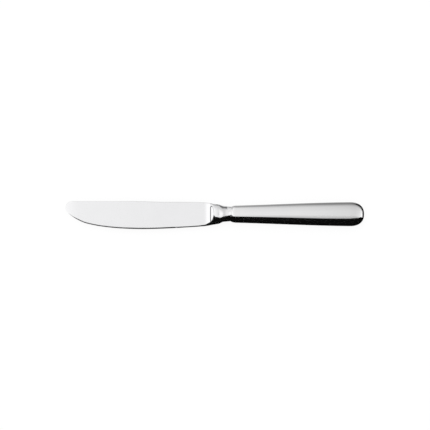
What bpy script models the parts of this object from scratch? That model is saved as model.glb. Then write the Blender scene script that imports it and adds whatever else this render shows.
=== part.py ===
"""Butter knife with a hollow handle.

One forging carries the blade, the bolster, the neck, the spigot and the notched tang. Two drawn
shells make the handle. They meet on a seam in the plane of the blade, brazed from inside. A braze
ring joins their mouth to the spigot, and cement in the hollow holds the tang.

Metres, +Z up. The knife lies on its side: the tip points to -X, the spine to +Y, the cutting edge
to -Y. The origin is on the table, under the middle of the knife's box.
"""

import math

import bmesh
import bpy

MM = 0.001

# Lengths along the knife, tip to butt
BLADE_LENGTH = 82.6 * MM
BOLSTER_LENGTH = 4.6 * MM
NECK_LENGTH = 6.9 * MM
HANDLE_LENGTH = 75.9 * MM

# Outline of the blade, heights from the axis of the handle
SPINE_RISE = 7.45 * MM
SPINE_FALL = 0.52 * MM
FALL_START = 37.0 * MM
FALL_LENGTH = 20.0 * MM
BELLY_DROP = 8.45 * MM
BELLY_LENGTH = 45.0 * MM
TIP_RISE = 3.2 * MM
TIP_CORNER = 4.0 * MM
OUTLINE_POWER = 2.2
TIP_POWER = 1.75
TIP_SHARE = 0.75
EDGE_RISE_POWER = 1.55
HEEL_DROP = 0.3 * MM

# Section of the blade
HEEL_THICKNESS = 2.3 * MM
TIP_THICKNESS = 1.4 * MM
WEDGE = 0.5 * MM
SPINE_RADIUS = 0.35 * MM
SPINE_HEEL_RADIUS = 0.5 * MM
EDGE_BEVEL = 0.55 * MM
EDGE_LAND = 0.2 * MM
HEEL_REACH = 2.2 * MM
HEEL_BLEND = 4.2 * MM
HEEL_LIFT = 0.25 * MM
WEB_INSET = 0.5 * MM

# Bolster, collar and neck
SHOULDER_WIDTH = 12.5 * MM
SHOULDER_THICKNESS = 5.5 * MM
SHOULDER_POWER = 1.85
FACET_ANGLE = math.radians(42.0)
COLLAR_WIDTH = 10.95 * MM
COLLAR_LENGTH = 2.9 * MM
COLLAR_POWER = 2.3
BOLSTER_THICKNESS = 6.14 * MM
BOLSTER_CREST = 3.7 * MM
NECK_FRONT_WIDTH = 9.1 * MM
NECK_WIDTH = 8.2 * MM
NECK_THICKNESS = 6.28 * MM
NECK_WAIST = 0.63
NECK_HOLLOW = 0.85 * MM
NECK_FRONT_POWER = 2.45
NECK_POWER = 1.87

# Handle shells
HANDLE_FRONT_WIDTH = 9.55 * MM
HANDLE_WIDTH = 13.6 * MM
HANDLE_FRONT_THICKNESS = 8.4 * MM
HANDLE_THICKNESS = 8.6 * MM
FRONT_FLARE = 0.025
REAR_FLARE = 0.01
BUTT_LENGTH = 8.2 * MM
BUTT_POWER = 2.4
LIP_LENGTH = 3.0 * MM
SIDE_LIP_RISE = 0.62 * MM
SIDE_LIP_POWER = 2.0
TOP_LIP_RISE = 0.35 * MM
TOP_LIP_POWER = 5.0
FRONT_POWER = 2.2
REAR_POWER = 2.3
SHELL_WALL = 0.7 * MM

# Inside the handle
SPIGOT_LENGTH = 5.0 * MM
SPIGOT_POWER = 2.0
RING_START = 1.5 * MM
RING_WIDTH = 1.2 * MM
GROOVE_DEPTH = 0.5 * MM
TANG_LENGTH = 42.0 * MM
TANG_WIDTH = 5.0 * MM
TANG_END_WIDTH = 3.6 * MM
TANG_THICKNESS = 3.0 * MM
TANG_END_THICKNESS = 2.2 * MM
NOTCH_RADIUS = 0.8 * MM
NOTCH_COUNT = 3
CEMENT_COVER = 5.0 * MM
BRAZE_WIDTH = 1.4 * MM
BRAZE_THICKNESS = 0.5 * MM

# Gap left between two pieces that touch
CLEARANCE = 0.3 * MM

# Fineness of the lofts
RING_POINTS = 32
TIP_STATIONS = 26
BODY_STATIONS = 20
HEEL_STATIONS = 10
BOLSTER_STATIONS = 20
NECK_STATIONS = 8
LIP_STATIONS = 7
LIP_SPREAD = 1.5
HANDLE_STATIONS = 16
BUTT_STATIONS = 12
CORNER_STEPS = 4

# Share of a wall that a rounding may take away
ROUND_LIMIT = 0.9

# Places worked out from the sizes
TIP_X = -(BLADE_LENGTH + BOLSTER_LENGTH + NECK_LENGTH + HANDLE_LENGTH) / 2
SHOULDER_X = TIP_X + BLADE_LENGTH
COLLAR_X = SHOULDER_X + BOLSTER_LENGTH
MOUTH_X = COLLAR_X + NECK_LENGTH
BUTT_X = MOUTH_X + HANDLE_LENGTH
DOME_X = BUTT_X - BUTT_LENGTH
FALL_X = TIP_X + FALL_START
BELLY_X = TIP_X + BELLY_LENGTH
SPIGOT_X = MOUTH_X + SPIGOT_LENGTH
TANG_X = SPIGOT_X + TANG_LENGTH
AXIS_Y = (BELLY_DROP - max(SPINE_RISE, HANDLE_WIDTH / 2)) / 2
AXIS_Z = max(HANDLE_THICKNESS, BOLSTER_THICKNESS) / 2

STEEL_BLADE = ("forged_blade_steel", (0.62, 0.62, 0.63), 0.12, 1.0)
STEEL_SHELL = ("drawn_handle_steel", (0.60, 0.60, 0.61), 0.16, 1.0)
BRAZE = ("silver_braze", (0.70, 0.66, 0.55), 0.35, 1.0)
CEMENT = ("tang_cement", (0.36, 0.34, 0.31), 0.9, 0.0)


def clear_scene():
    for thing in list(bpy.data.objects):
        bpy.data.objects.remove(thing, do_unlink=True)


def new_collection(name):
    collection = bpy.data.collections.new(name)
    bpy.context.scene.collection.children.link(collection)
    return collection


def make_material(name, colour, roughness, metallic):
    material = bpy.data.materials.new(name)
    material.use_nodes = True
    shader = material.node_tree.nodes["Principled BSDF"]
    shader.inputs["Base Color"].default_value = (*colour, 1.0)
    shader.inputs["Roughness"].default_value = roughness
    shader.inputs["Metallic"].default_value = metallic
    return material


def share(value, start, end):
    """How far value lies between start and end, from 0 to 1."""
    return min(max((value - start) / (end - start), 0.0), 1.0)


def mix(start, end, amount):
    return start + (end - start) * amount


def smooth(amount):
    return amount * amount * (3.0 - 2.0 * amount)


def rounded(amount, power):
    """Height of a superellipse at this share of its length: 1 in the middle, 0 at the end."""
    return max(1.0 - amount**power, 0.0) ** (1.0 / power)


def spread(start, end, count, power=1.0):
    """Stations from start to end, closer together near start where power is over 1."""
    return [mix(start, end, (i / count) ** power) for i in range(count + 1)]


def spine_y(x):
    """Upper outline of the blade: rounded tip corner, spine with a slow fall, run down to the bolster."""
    corner = share(x, TIP_X + TIP_CORNER, TIP_X)
    tip = (SPINE_RISE - TIP_RISE) * (1.0 - rounded(corner, OUTLINE_POWER))
    fall = SPINE_FALL * smooth(share(x, FALL_X, FALL_X + FALL_LENGTH))
    heel = share(x, SHOULDER_X - 2 * HEEL_BLEND, SHOULDER_X) ** 2
    return mix(SPINE_RISE - tip - fall, SHOULDER_WIDTH / 2, heel)


def edge_y(x):
    """Cutting edge: a long belly from the tip to its deepest point, then a slow rise to the heel."""
    if x < BELLY_X:
        along = share(x, BELLY_X, TIP_X)
        power = mix(OUTLINE_POWER, TIP_POWER, share(along, TIP_SHARE, 1.0))
        return mix(TIP_RISE, -BELLY_DROP, rounded(along, power))
    rise = share(x, BELLY_X, SHOULDER_X) ** EDGE_RISE_POWER
    heel = share(x, SHOULDER_X - HEEL_BLEND, SHOULDER_X) ** 2
    return mix(-BELLY_DROP, -SHOULDER_WIDTH / 2 - HEEL_DROP, rise) + HEEL_DROP * heel


def face_z(x, y):
    """Half the blade's thickness: a flat face that tapers to the tip and to the edge."""
    spine = mix(HEEL_THICKNESS, TIP_THICKNESS, (SHOULDER_X - x) / BLADE_LENGTH)
    lost = WEDGE * (SPINE_RISE - y) / (SPINE_RISE + BELLY_DROP)
    lift = HEEL_LIFT * share(x, SHOULDER_X - HEEL_BLEND, SHOULDER_X) ** 2
    return (spine - lost) / 2 + lift


def blade_ring(x):
    """Section of the blade: rounded spine, flat faces, bevelled edge; all rounder at the heel."""
    heel = smooth(share(x, SHOULDER_X - HEEL_BLEND, SHOULDER_X))
    sunk = share(x, SHOULDER_X, COLLAR_X)
    inset = sunk * WEB_INSET
    if sunk > 0.0:
        top = bolster_section(x)[0] - inset
        bottom = -top
    else:
        top = spine_y(x)
        bottom = edge_y(x)
    thin_limit = ROUND_LIMIT * (top - bottom) / 3
    radius = min(mix(SPINE_RADIUS, SPINE_HEEL_RADIUS, heel), thin_limit)
    bevel = min(mix(EDGE_BEVEL, HEEL_REACH, heel), thin_limit)
    face_top = mix(face_z(min(x, SHOULDER_X), top - radius), WEB_INSET, sunk)
    face_bottom = mix(face_z(min(x, SHOULDER_X), bottom + bevel), WEB_INSET, sunk)
    spine_round = min(radius, ROUND_LIMIT * face_top)
    heel_round = min(bevel, ROUND_LIMIT * face_bottom)
    land = min(EDGE_LAND / 2, face_bottom)
    spine_side = []
    edge_side = []
    for i in range(CORNER_STEPS):
        step = i / (CORNER_STEPS - 1)
        round_in = 1.0 - math.sin(math.radians(90.0) * step)
        round_out = 1.0 - math.cos(math.radians(90.0) * step)
        spine_side.append((top - radius * round_out, face_top - spine_round * round_in))
        flat = (bottom + bevel * (1.0 - step), mix(face_bottom, land, step))
        curved = (bottom + bevel * round_in, face_bottom - heel_round * round_out)
        edge_side.append((mix(flat[0], curved[0], heel), mix(flat[1], curved[1], heel)))
    side = spine_side + edge_side
    return [(x, y, z) for y, z in side] + [(x, y, -z) for y, z in reversed(side)]


def oval_ring(x, half_width, half_thickness, power=SPIGOT_POWER):
    """Superellipse section with a facet, not a corner, at its top and bottom."""
    ring = []
    for i in range(RING_POINTS):
        turn = math.tau * (i + 0.5) / RING_POINTS
        across = math.copysign(abs(math.cos(turn)) ** (2.0 / power), math.cos(turn))
        up = math.copysign(abs(math.sin(turn)) ** (2.0 / power), math.sin(turn))
        ring.append((x, half_width * across, half_thickness * up))
    return ring


def bolster_section(x):
    """Half width, half thickness and power of the bolster: domed, narrower and squarer to the collar."""
    along = (x - SHOULDER_X) / BOLSTER_LENGTH
    crest = (SHOULDER_X + BOLSTER_CREST - x) / BOLSTER_CREST
    half_width = mix(SHOULDER_WIDTH, COLLAR_WIDTH, along) / 2
    half_thickness = (BOLSTER_THICKNESS - (BOLSTER_THICKNESS - SHOULDER_THICKNESS) * crest**2) / 2
    return half_width, half_thickness, mix(SHOULDER_POWER, COLLAR_POWER, along**3)


def neck_section(x):
    """Half width, half thickness and power of the neck: narrower towards the mouth, with a waist."""
    along = share(x, COLLAR_X, MOUTH_X)
    half_width = mix(NECK_FRONT_WIDTH, NECK_WIDTH, along) / 2
    half_thickness = NECK_THICKNESS / 2 + NECK_HOLLOW * (along - NECK_WAIST) ** 2
    return half_width, half_thickness, mix(NECK_FRONT_POWER, NECK_POWER, along)


def root_section(x):
    """Section from the shoulder to the mouth: the bolster gives way to the neck over the collar's step."""
    step = smooth(share(x, COLLAR_X, COLLAR_X + COLLAR_LENGTH))
    return [mix(front, rear, step) for front, rear in zip(bolster_section(x), neck_section(x))]


def handle_section(x, inset=0.0):
    """Half width, half thickness and power of the handle's section, inset from its outside."""
    along = share(x, MOUTH_X, DOME_X)
    length = DOME_X - MOUTH_X
    ease = smooth(along)
    swell = FRONT_FLARE * length * along * (1 - along) ** 2
    swell -= REAR_FLARE * length * along**2 * (1 - along)
    lip = 1.0 - share(x, MOUTH_X, MOUTH_X + LIP_LENGTH)
    side_lip = SIDE_LIP_RISE * lip**SIDE_LIP_POWER
    top_lip = TOP_LIP_RISE * lip**TOP_LIP_POWER
    half_width = mix(HANDLE_FRONT_WIDTH, HANDLE_WIDTH, ease) / 2 + swell - side_lip - inset
    half_thickness = mix(HANDLE_FRONT_THICKNESS, HANDLE_THICKNESS, ease) / 2 - top_lip - inset
    dome = rounded(share(x, DOME_X, BUTT_X - inset), BUTT_POWER)
    return half_width * dome, half_thickness * dome, mix(FRONT_POWER, REAR_POWER, ease)


def handle_stations(inset=0.0):
    """Places along the handle: close at the lip, even along the grip, by angle round the butt."""
    stations = spread(MOUTH_X, MOUTH_X + LIP_LENGTH, LIP_STATIONS, LIP_SPREAD)
    stations += spread(MOUTH_X + LIP_LENGTH, DOME_X, HANDLE_STATIONS)[1:]
    reach = BUTT_LENGTH - inset
    for i in range(1, BUTT_STATIONS + 1):
        turn = math.radians(90.0) * i / BUTT_STATIONS
        stations.append(DOME_X + reach * math.sin(turn) ** (2.0 / BUTT_POWER))
    return stations


def loft_mesh(name, rings, cap_start=True, cap_end=True):
    """A skin over rings of equal length; a last ring of one point closes it as a dome."""
    shape = bmesh.new()
    rows = [[shape.verts.new(point) for point in ring] for ring in rings]
    for near, far in zip(rows, rows[1:]):
        count = len(near)
        for i in range(count):
            after = (i + 1) % count
            if len(far) == 1:
                shape.faces.new((near[i], near[after], far[0]))
            else:
                shape.faces.new((near[i], near[after], far[after], far[i]))
    if cap_start:
        shape.faces.new(rows[0])
    if cap_end and len(rows[-1]) > 1:
        shape.faces.new(rows[-1])
    bmesh.ops.recalc_face_normals(shape, faces=shape.faces)
    mesh = bpy.data.meshes.new(name)
    shape.to_mesh(mesh)
    shape.free()
    return mesh


def place(name, mesh, collection, material=None):
    """An object on the knife's axis, which lies above the origin."""
    piece = bpy.data.objects.new(name, mesh)
    piece.location = (0.0, AXIS_Y, AXIS_Z)
    collection.objects.link(piece)
    if material:
        mesh.materials.append(material)
        mesh.shade_smooth()
        mesh.set_sharp_from_angle(angle=math.radians(30.0))
    return piece


def place_cutter(name, mesh, cutters):
    cutter = place(name, mesh, cutters)
    cutter.hide_render = True
    cutter.display_type = "WIRE"
    return cutter


def add_boolean(piece, operation, cutter):
    modifier = piece.modifiers.new(cutter.name, "BOOLEAN")
    modifier.operation = operation
    modifier.object = cutter
    modifier.solver = "EXACT"


def prism_mesh(name, outline, half_depth):
    """An outline in X and Z, drawn out to both sides along Y."""
    near = [(x, -half_depth, z) for x, z in outline]
    far = [(x, half_depth, z) for x, z in outline]
    return loft_mesh(name, [near, far])


def box_mesh(name, low, high):
    outline = [(low[0], low[2]), (high[0], low[2]), (high[0], high[2]), (low[0], high[2])]
    near = [(x, low[1], z) for x, z in outline]
    far = [(x, high[1], z) for x, z in outline]
    return loft_mesh(name, [near, far])


def blade_mesh():
    """The ground blade, with a web that runs on into the bolster and fades there."""
    tip_start = TIP_X + EDGE_LAND / 10
    stations = spread(tip_start, BELLY_X, TIP_STATIONS, 2.0)
    stations += spread(BELLY_X, SHOULDER_X - HEEL_BLEND, BODY_STATIONS)[1:]
    stations += spread(SHOULDER_X - HEEL_BLEND, SHOULDER_X, HEEL_STATIONS)[1:]
    stations += spread(SHOULDER_X, COLLAR_X, HEEL_STATIONS)[1:-1]
    return loft_mesh("blade_blank", [blade_ring(x) for x in stations])


def spigot_size():
    """The spigot passes the handle's mouth with the usual gap."""
    half_width, half_thickness, power = handle_section(MOUTH_X, SHELL_WALL + CLEARANCE)
    return half_width, half_thickness


def bolster_mesh():
    """Bolster, collar, neck and grooved spigot, front to back."""
    front = SHOULDER_X - HEEL_LIFT
    neck_start = COLLAR_X + COLLAR_LENGTH
    neck_end = MOUTH_X - CLEARANCE
    stations = spread(front, neck_start, BOLSTER_STATIONS)
    stations += spread(neck_start, neck_end, NECK_STATIONS)[1:]
    rings = [oval_ring(x, *root_section(x)) for x in stations]
    spigot = spigot_size()
    groove = [size - GROOVE_DEPTH for size in spigot]
    groove_start = MOUTH_X + RING_START - CLEARANCE
    groove_end = MOUTH_X + RING_START + RING_WIDTH + CLEARANCE
    rings.append(oval_ring(neck_end, *spigot))
    rings.append(oval_ring(groove_start, *spigot))
    rings.append(oval_ring(groove_start, *groove))
    rings.append(oval_ring(groove_end, *groove))
    rings.append(oval_ring(groove_end, *spigot))
    rings.append(oval_ring(SPIGOT_X, *spigot))
    return loft_mesh("bolster", rings)


def tang_ring(x, gap=0.0):
    """Rectangular section of the tang, which tapers from the spigot to its end."""
    along = share(x, SPIGOT_X, TANG_X)
    half_width = mix(TANG_WIDTH, TANG_END_WIDTH, along) / 2 + gap
    half_thickness = mix(TANG_THICKNESS, TANG_END_THICKNESS, along) / 2 + gap
    corners = ((1, 1), (-1, 1), (-1, -1), (1, -1))
    return [(x, half_width * across, half_thickness * up) for across, up in corners]


def notch_mesh():
    """Round bars across the tang's two edges, at even steps along it."""
    shape = bmesh.new()
    for i in range(NOTCH_COUNT):
        x = mix(SPIGOT_X, TANG_X, (i + 1) / (NOTCH_COUNT + 1))
        half_width = tang_ring(x)[0][1]
        for side in (1, -1):
            bar = bmesh.ops.create_cone(
                shape,
                cap_ends=True,
                segments=RING_POINTS // 2,
                radius1=NOTCH_RADIUS,
                radius2=NOTCH_RADIUS,
                depth=TANG_THICKNESS * 2,
            )
            bmesh.ops.translate(shape, verts=bar["verts"], vec=(x, side * half_width, 0.0))
    mesh = bpy.data.meshes.new("tang_notches")
    shape.to_mesh(mesh)
    shape.free()
    return mesh


def make_blade(parts, cutters):
    """The forging: bolster cut by the two shoulder facets, joined to the blade and the tang."""
    piece = place("blade", bolster_mesh(), parts, make_material(*STEEL_BLADE))
    foot = face_z(SHOULDER_X, 0.0)
    slope = math.tan(FACET_ANGLE)
    start = SHOULDER_X - HEEL_BLEND
    end = SHOULDER_X + BOLSTER_THICKNESS
    for side, name in ((1, "shoulder_facet_upper"), (-1, "shoulder_facet_lower")):
        outline = [
            (start, side * (foot + (start - SHOULDER_X) * slope)),
            (end, side * (foot + (end - SHOULDER_X) * slope)),
            (start, side * (foot + (end - SHOULDER_X) * slope)),
        ]
        facet = place_cutter(name, prism_mesh(name, outline, SHOULDER_WIDTH), cutters)
        add_boolean(piece, "DIFFERENCE", facet)
    add_boolean(piece, "UNION", place_cutter("blade_blank", blade_mesh(), cutters))
    root = SPIGOT_X - GROOVE_DEPTH
    tang = loft_mesh("tang_bar", [tang_ring(root), tang_ring(SPIGOT_X), tang_ring(TANG_X)])
    add_boolean(piece, "UNION", place_cutter("tang_bar", tang, cutters))
    add_boolean(piece, "DIFFERENCE", place_cutter("tang_notches", notch_mesh(), cutters))


def make_shells(parts, cutters):
    """Two half shells: the handle's skin, thickened inwards and kept on one side of the seam."""
    stations = handle_stations()
    rings = [oval_ring(x, *handle_section(x)) for x in stations[:-1]]
    rings.append([(BUTT_X, 0.0, 0.0)])
    material = make_material(*STEEL_SHELL)
    for side, name in ((1, "handle_shell_front"), (-1, "handle_shell_back")):
        skin = loft_mesh(name, rings, cap_start=False)
        shell = place(name, skin, parts, material)
        wall = shell.modifiers.new("sheet", "SOLIDIFY")
        wall.thickness = SHELL_WALL
        wall.offset = -1.0
        wall.use_even_offset = True
        levels = sorted((side * CLEARANCE / 2, side * HANDLE_THICKNESS))
        low = (MOUTH_X - LIP_LENGTH, -HANDLE_WIDTH, levels[0])
        high = (BUTT_X + LIP_LENGTH, HANDLE_WIDTH, levels[1])
        half = place_cutter(name + "_side", box_mesh(name + "_side", low, high), cutters)
        add_boolean(shell, "INTERSECT", half)


def make_seam_braze(parts):
    """A strip of braze inside the seam, from the spigot round the butt and back."""
    start = SPIGOT_X + CLEARANCE
    path = []
    for inset in (SHELL_WALL + CLEARANCE, SHELL_WALL + CLEARANCE + BRAZE_THICKNESS):
        stations = [start] + [x for x in handle_stations(inset) if x > start]
        side = [(x, handle_section(x, inset)[0]) for x in stations[:-1]]
        side.append((stations[-1], 0.0))
        path.append(side + [(x, -y) for x, y in reversed(side[:-1])])
    outline = path[0] + path[1][::-1]
    curve = bpy.data.curves.new("seam_braze", "CURVE")
    curve.dimensions = "2D"
    curve.fill_mode = "BOTH"
    curve.extrude = BRAZE_WIDTH / 2
    spline = curve.splines.new("POLY")
    spline.points.add(len(outline) - 1)
    for point, (x, y) in zip(spline.points, outline):
        point.co = (x, y, 0.0, 1.0)
    spline.use_cyclic_u = True
    curve.materials.append(make_material(*BRAZE))
    piece = bpy.data.objects.new("seam_braze", curve)
    piece.location = (0.0, AXIS_Y, AXIS_Z)
    parts.objects.link(piece)


def make_mouth_braze(parts):
    """A braze ring that sits in the spigot's groove and reaches out to the shells."""
    start = MOUTH_X + RING_START
    end = start + RING_WIDTH
    bore = [size - GROOVE_DEPTH + CLEARANCE for size in spigot_size()]
    rings = []
    for x in (start, end):
        half_width, half_thickness, power = handle_section(x, SHELL_WALL + CLEARANCE)
        rings.append(oval_ring(x, half_width, half_thickness))
    rings.append(oval_ring(end, *bore))
    rings.append(oval_ring(start, *bore))
    rings.append(rings[0])
    mesh = loft_mesh("mouth_braze", rings, cap_start=False, cap_end=False)
    shape = bmesh.new()
    shape.from_mesh(mesh)
    bmesh.ops.remove_doubles(shape, verts=shape.verts, dist=CLEARANCE / 100)
    bmesh.ops.recalc_face_normals(shape, faces=shape.faces)
    shape.to_mesh(mesh)
    shape.free()
    place("mouth_braze", mesh, parts, make_material(*BRAZE))


def make_tang_cement(parts, cutters):
    """Cement from the spigot to past the tang's end, clear of the braze strip, with the tang's hole."""
    start = SPIGOT_X + CLEARANCE
    end = TANG_X + CEMENT_COVER
    rings = []
    for x in spread(start, end, HANDLE_STATIONS):
        half_width, half_thickness, power = handle_section(x, SHELL_WALL + CLEARANCE)
        half_width -= BRAZE_THICKNESS + CLEARANCE
        rings.append(oval_ring(x, half_width, half_thickness, power))
    piece = place("tang_cement", loft_mesh("tang_cement", rings), parts, make_material(*CEMENT))
    stations = (SPIGOT_X - CLEARANCE, SPIGOT_X, TANG_X, TANG_X + CLEARANCE)
    hole = loft_mesh("tang_hole", [tang_ring(x, CLEARANCE) for x in stations])
    add_boolean(piece, "DIFFERENCE", place_cutter("tang_hole", hole, cutters))


def main():
    clear_scene()
    parts = new_collection("butter_knife")
    cutters = new_collection("cutters")
    make_blade(parts, cutters)
    make_shells(parts, cutters)
    make_seam_braze(parts)
    make_mouth_braze(parts)
    make_tang_cement(parts, cutters)


main()
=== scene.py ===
"""Butter knife with a hollow handle: its looks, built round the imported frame.

The forging and the two handle shells are rebuilt here with finer surfaces, in the places of their
nodes. The braze and the cement inside the handle stay as the frame has them, with finer materials.

Metres, +Z up. The knife lies on its side: the tip points to -X, the spine to +Y, the cutting edge
to -Y. The origin is on the table, under the middle of the knife's box.
"""

import math

import bmesh
import bpy
import numpy as np
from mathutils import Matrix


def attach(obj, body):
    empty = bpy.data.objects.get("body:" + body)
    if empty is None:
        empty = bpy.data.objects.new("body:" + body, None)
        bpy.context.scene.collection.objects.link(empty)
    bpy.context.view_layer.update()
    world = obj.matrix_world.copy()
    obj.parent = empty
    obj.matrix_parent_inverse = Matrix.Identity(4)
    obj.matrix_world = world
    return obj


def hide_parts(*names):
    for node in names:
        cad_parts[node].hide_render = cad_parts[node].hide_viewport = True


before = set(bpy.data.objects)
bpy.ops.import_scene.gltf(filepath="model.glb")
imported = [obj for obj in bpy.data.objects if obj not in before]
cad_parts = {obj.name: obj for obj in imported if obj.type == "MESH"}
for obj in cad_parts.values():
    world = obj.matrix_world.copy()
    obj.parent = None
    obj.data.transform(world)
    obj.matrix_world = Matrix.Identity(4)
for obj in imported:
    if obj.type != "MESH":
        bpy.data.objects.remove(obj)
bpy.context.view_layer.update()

MM = 0.001

# Places along the knife, tip to butt
TIP_X = -85.0 * MM
FALL_X = -48.0 * MM
BELLY_X = -40.0 * MM
SHOULDER_X = -2.4 * MM
COLLAR_X = 2.2 * MM
WEB_END_X = 0.4 * MM
MOUTH_X = 9.1 * MM
SPIGOT_X = 14.1 * MM
TANG_X = 56.1 * MM
DOME_X = 76.8 * MM
BUTT_X = 85.0 * MM
AXIS_Y = 0.5 * MM
AXIS_Z = 4.3 * MM

# Outline of the blade, heights from the axis of the handle
SPINE_RISE = 7.45 * MM
SPINE_FALL = 0.52 * MM
FALL_LENGTH = 20.0 * MM
BELLY_DROP = 8.45 * MM
TIP_RISE = 3.2 * MM
TIP_CORNER = 4.0 * MM
OUTLINE_POWER = 2.2
TIP_POWER = 1.75
TIP_SHARE = 0.75
EDGE_RISE_POWER = 1.55
HEEL_DROP = 0.3 * MM

# Section of the blade
BLADE_LENGTH = SHOULDER_X - TIP_X
HEEL_THICKNESS = 2.3 * MM
TIP_THICKNESS = 1.4 * MM
WEDGE = 0.5 * MM
SPINE_RADIUS = 0.35 * MM
SPINE_HEEL_RADIUS = 0.5 * MM
EDGE_ANGLE = 43.0
EDGE_STEEP_ANGLE = 59.8
EDGE_STEEP_START = -30.0 * MM
EDGE_STEEP_X = -14.0 * MM
EDGE_ROOT_ANGLE = 51.0
EDGE_ROOT_POWER = 5
EDGE_LAND = 0.2 * MM
EDGE_SOFT = 0.05 * MM
EDGE_REACH = 0.5 * MM
TIP_FADE = 7.5 * MM
TIP_EASE = 0.07 * MM
HEEL_REACH = 2.2 * MM
EASE_END = 0.8
HEEL_BLEND = 4.2 * MM
HEEL_LIFT = 0.25 * MM
ROUND_LIMIT = 0.9

# Bolster, collar and neck
SHOULDER_WIDTH = 12.5 * MM
SHOULDER_THICKNESS = 5.5 * MM
FACET_ANGLE = math.radians(42.0)
FACET_SOFT = 0.28 * MM
FLANK_SOFT = 0.8 * MM
FLANK_REACH = 3.1 * MM
WEB_SOFT = 0.06 * MM
WEB_BLEND = 0.6 * MM
COLLAR_WIDTH = 10.95 * MM
BOLSTER_THICKNESS = 6.14 * MM
BOLSTER_CREST = 3.7 * MM
SHOULDER_POWER = 1.7
COLLAR_POWER = 2.0
SPINE_SHOULDER_POWER = 2.2
SPINE_COLLAR_POWER = 2.5
SPINE_NECK_POWER = 2.1
SQUARING_POWER = 3
COLLAR_LENGTH = 2.9 * MM
NECK_FRONT_WIDTH = 9.45 * MM
NECK_WIDTH = 8.3 * MM
NECK_SHIFT = 0.17 * MM
NECK_THICKNESS = 6.28 * MM
NECK_WAIST = 0.63
NECK_HOLLOW = 0.85 * MM
NECK_FRONT_POWER = 2.4
NECK_POWER = 1.74
SPIGOT_POWER = 2.0
D_HALF_LENGTH = 4.4 * MM
# Painted shade: a dark line round the facet's foot and a faint one along the facet's ridge, drawn by the
# steel's material
SHADE_LINE_WIDTH = 0.38 * MM
SHADE_LINE_ROUND = 0.5 * MM
SHADE_LINE_REACH = 1.4 * MM
RIDGE_DROP = 0.12 * MM
RIDGE_SHADE = 0.35

# Handle shells
HANDLE_FRONT_WIDTH = 9.55 * MM
HANDLE_WIDTH = 13.6 * MM
HANDLE_FRONT_THICKNESS = 8.4 * MM
HANDLE_THICKNESS = 8.6 * MM
FRONT_SWELL = 0.025 * (DOME_X - MOUTH_X)
REAR_HOLLOW = 0.01 * (DOME_X - MOUTH_X)
LIP_LENGTH = 3.0 * MM
SIDE_LIP_RISE = 0.62 * MM
SIDE_LIP_POWER = 2.0
TOP_LIP_RISE = 0.35 * MM
TOP_LIP_POWER = 5.0
FRONT_POWER = 2.1
REAR_POWER = 2.3
BUTT_POWER = 2.4
SHELL_WALL = 0.7 * MM
SEAM_GAP = 0.04 * MM
RIM_ROUND = 0.08 * MM
RIM_SEGMENTS = 2
RIM_ANGLE = math.radians(50.0)
SHELL_SHARP_ANGLE = math.radians(35.0)
SHELL_WELD = 0.002 * MM
SHELL_STATIONS = 220
SHELL_POINTS = 65
STATION_POWER = 1.4

# Spigot and tang, inside the handle
MOUTH_GAP = 0.03 * MM
SPIGOT_GAP = 0.3 * MM
RING_START = 1.5 * MM
RING_WIDTH = 1.2 * MM
GROOVE_DEPTH = 0.5 * MM
TANG_WIDTH = 5.0 * MM
TANG_END_WIDTH = 3.6 * MM
TANG_THICKNESS = 3.0 * MM
TANG_END_THICKNESS = 2.2 * MM
TANG_ROUND = 0.25 * MM
NOTCH_RADIUS = 0.8 * MM
NOTCH_COUNT = 3

# Fineness of the forging: points across one face, and stations along each stretch
FACE_POINTS = 73
TIP_STATIONS = 110
BODY_STATIONS = 44
HEEL_STATIONS = 42
BOLSTER_STATIONS = 92
NECK_STATIONS = 50
TANG_STATIONS = 90
TIP_STATION_POWER = 2.0
FORGING_WELD = 0.001 * MM
FORGING_SHARP_ANGLE = math.radians(50.0)

# Finish of the steel: buffing lines and haze, and painted shade at the foot of the shoulder
LINE_SPACING = 0.5 * MM
LINE_STRETCH = 40.0
LINE_ROUGHNESS = (0.03, 0.07)
LINE_BUMP = 0.02
LINE_DEPTH = 0.02 * MM
HAZE_SIZE = 12.0 * MM
HAZE_ROUGHNESS = 0.03
HAZE_COLOUR = "#E6E6E7"
# Painted shade: duller and nearly black in the corner at the shoulder's foot
PAINTED_SHADE_ROUGHNESS = 0.5
PAINTED_SHADE_COLOUR = "#161616"

# Grain of the braze and the cement
GRAIN_BUMP = 0.4
GRAIN_ROUGHNESS = 0.1

# Camera: straight above, a long lens
CAMERA_HEIGHT = 1200.0 * MM
CAMERA_X = 0.14 * MM
CAMERA_Y = 0.04 * MM
PICTURE_WIDTH = 244.9 * MM
SENSOR = 36.0
CLIP_NEAR = 0.01
CLIP_FAR = 50.0

# Sky, floor and lamp
SKY_WHITE = 1.25
WHITE = (1.0, 1.0, 1.0, 1.0)
FLOOR_COLOUR = "#F5F5F5"
FLOOR_GLOW = 0.9
FLOOR_SIZE = 6.0
LAMP_SIZE = 1.0
LAMP_POWER = 6.0
LAMP_PLACE = (-0.3, 0.4, 1.3)
LAMP_TILT = (math.radians(-17.0), math.radians(-13.0), 0.0)

# Studio cards: flags beside the edge side, cards beside the spine side, boards above the floor
BLACK = "#0A0A0A"
CARD_START_X = -500.0 * MM
CARD_END_X = 178.0 * MM
FLAG_Y = -25.0 * MM
FLAG_STEP = 1.0 * MM
FLAG_EDGE = 64.0 * MM
FLAG_EDGE_END = 64.5 * MM
FLAG_TOP = 320.0 * MM
SPINE_CARD_Y = 30.0 * MM
BOARD_START_X = -115.0 * MM
BOARD_END_X = 84.0 * MM
BOARD_END_Y = 200.0 * MM
BOARD_LIFT = 0.2 * MM
NO_FADE = (-2.0, -1.0)
BELLY_FADE = (-54.0 * MM, -44.0 * MM)
GRIP_FADE = (12.0 * MM, 66.0 * MM)


def share(value, start, end):
    """How far value lies between start and end, from 0 to 1."""
    return np.clip((value - start) / (end - start), 0.0, 1.0)


def mix(start, end, amount):
    return start + (end - start) * amount


def smooth(amount):
    return amount * amount * (3.0 - 2.0 * amount)


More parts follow.
